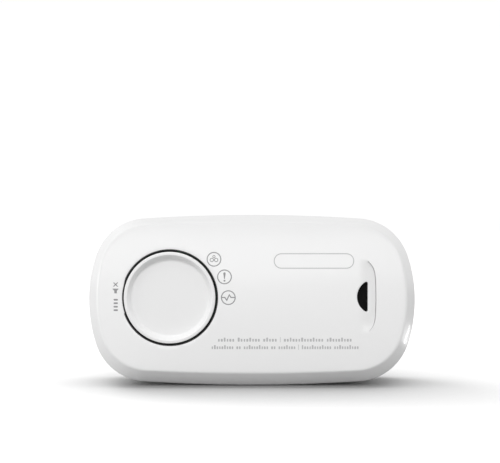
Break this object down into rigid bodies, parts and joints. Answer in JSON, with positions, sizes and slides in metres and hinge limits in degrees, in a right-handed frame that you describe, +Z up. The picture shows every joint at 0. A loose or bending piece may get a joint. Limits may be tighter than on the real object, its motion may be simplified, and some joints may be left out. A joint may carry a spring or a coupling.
{
  "type": "carbon monoxide alarm",
  "caption": "Bowed oblong white case with a round hinged test button, printed indicator symbols, a D-shaped sound opening with a thumb scallop, and a sealed battery inside.",
  "frame": {"origin": "middle of the underside of the bounding box, on the surface the alarm stands on", "axes": "+X to the right when the front is looked at, front face towards -Y, wall face towards +Y, +Z up"},
  "size_m": [0.12, 0.036, 0.0627],
  "materials": {
    "white_case": "white semi-gloss moulded ABS with a very fine texture",
    "white_rear": "white satin moulded ABS",
    "white_button": "white satin moulded ABS, smooth rim",
    "steel": "bright drawn steel",
    "zinc_screw": "bright zinc plate",
    "black_mesh": "woven black acoustic mesh",
    "black_plastic": "moulded black, fine texture",
    "grey_plastic": "moulded grey",
    "brass": "rolled brass sheet",
    "ceramic": "fired piezo ceramic with a thin silvered face",
    "board_green": "green solder mask on glass epoxy",
    "chip_black": "moulded epoxy",
    "copper": "enamelled copper winding",
    "ferrite": "sintered ferrite",
    "can_sleeve": "shrink sleeve",
    "rubber": "matt nitrile",
    "clear_acrylic": "clear moulded acrylic",
    "led_red": "tinted epoxy",
    "led_amber": "tinted epoxy",
    "led_green": "tinted epoxy",
    "cell_wrap": "shrink wrap over a steel can",
    "nickel": "nickel strip",
    "foam": "closed-cell foam",
    "label_paper": "blank matt polyester label",
    "wire_red": "PVC insulation",
    "wire_black": "PVC insulation",
    "slider_red": "moulded red"
  },
  "bodies": {
    "housing": {"front_cover": "white_case", "rear_cover": "white_rear", "button_hinge_pin": "steel", "button_bezel": "black_plastic", "acoustic_mesh": "black_mesh", "sounder_housing": "black_plastic", "sounder_cover": "grey_plastic", "piezo_plate": "brass", "piezo_ceramic": "ceramic", "sounder_wire_red": "wire_red", "sounder_wire_black": "wire_black", "main_board": "board_green", "microcontroller": "chip_black", "transformer_core": "ferrite", "transformer_winding": "copper", "smoothing_capacitor": "can_sleeve", "timing_crystal": "steel", "co_sensor_base": "black_plastic", "co_sensor_can": "steel", "co_sensor_gasket": "rubber", "co_sensor_cap": "grey_plastic", "led_alarm": "led_red", "led_fault": "led_amber", "led_power": "led_green", "light_guide_alarm": "clear_acrylic", "light_guide_fault": "clear_acrylic", "light_guide_power": "clear_acrylic", "test_switch_body": "chip_black", "activation_switch_body": "chip_black", "battery_cell": "cell_wrap", "battery_insulator": "label_paper", "battery_tab_positive": "nickel", "battery_tab_negative": "nickel", "battery_wire_red": "wire_red", "battery_wire_black": "wire_black", "battery_foam_pad": "foam", "rating_label": "label_paper", "case_screw_1": "zinc_screw", "case_screw_2": "zinc_screw", "case_screw_3": "zinc_screw", "case_screw_4": "zinc_screw", "board_screw_1": "zinc_screw", "board_screw_2": "zinc_screw"},
    "button": {"test_button": "white_button"},
    "switch_plunger": {"test_switch_plunger": "grey_plastic"},
    "slider": {"activation_switch_slider": "slider_red"}
  },
  "joints": [
    {"name": "test_button_press", "type": "hinge", "parent": "housing", "child": "button", "pos_m": [-0.0505, -0.0125, 0.0327], "axis": [0, 0, 1], "range_deg": [0, 1.6], "stiffness_Nm_per_rad": 0.6},
    {"name": "switch_plunger_travel", "type": "slide", "parent": "housing", "child": "switch_plunger", "axis": [0, 1, 0], "range_m": [0, 0.0005]},
    {"name": "activation_slide", "type": "slide", "parent": "housing", "child": "slider", "axis": [1, 0, 0], "range_m": [0, 0.003]}
  ],
  "couplings": [
    {"joint": "switch_plunger_travel", "follows": "test_button_press", "m_per_rad": 0.0175}
  ]
}
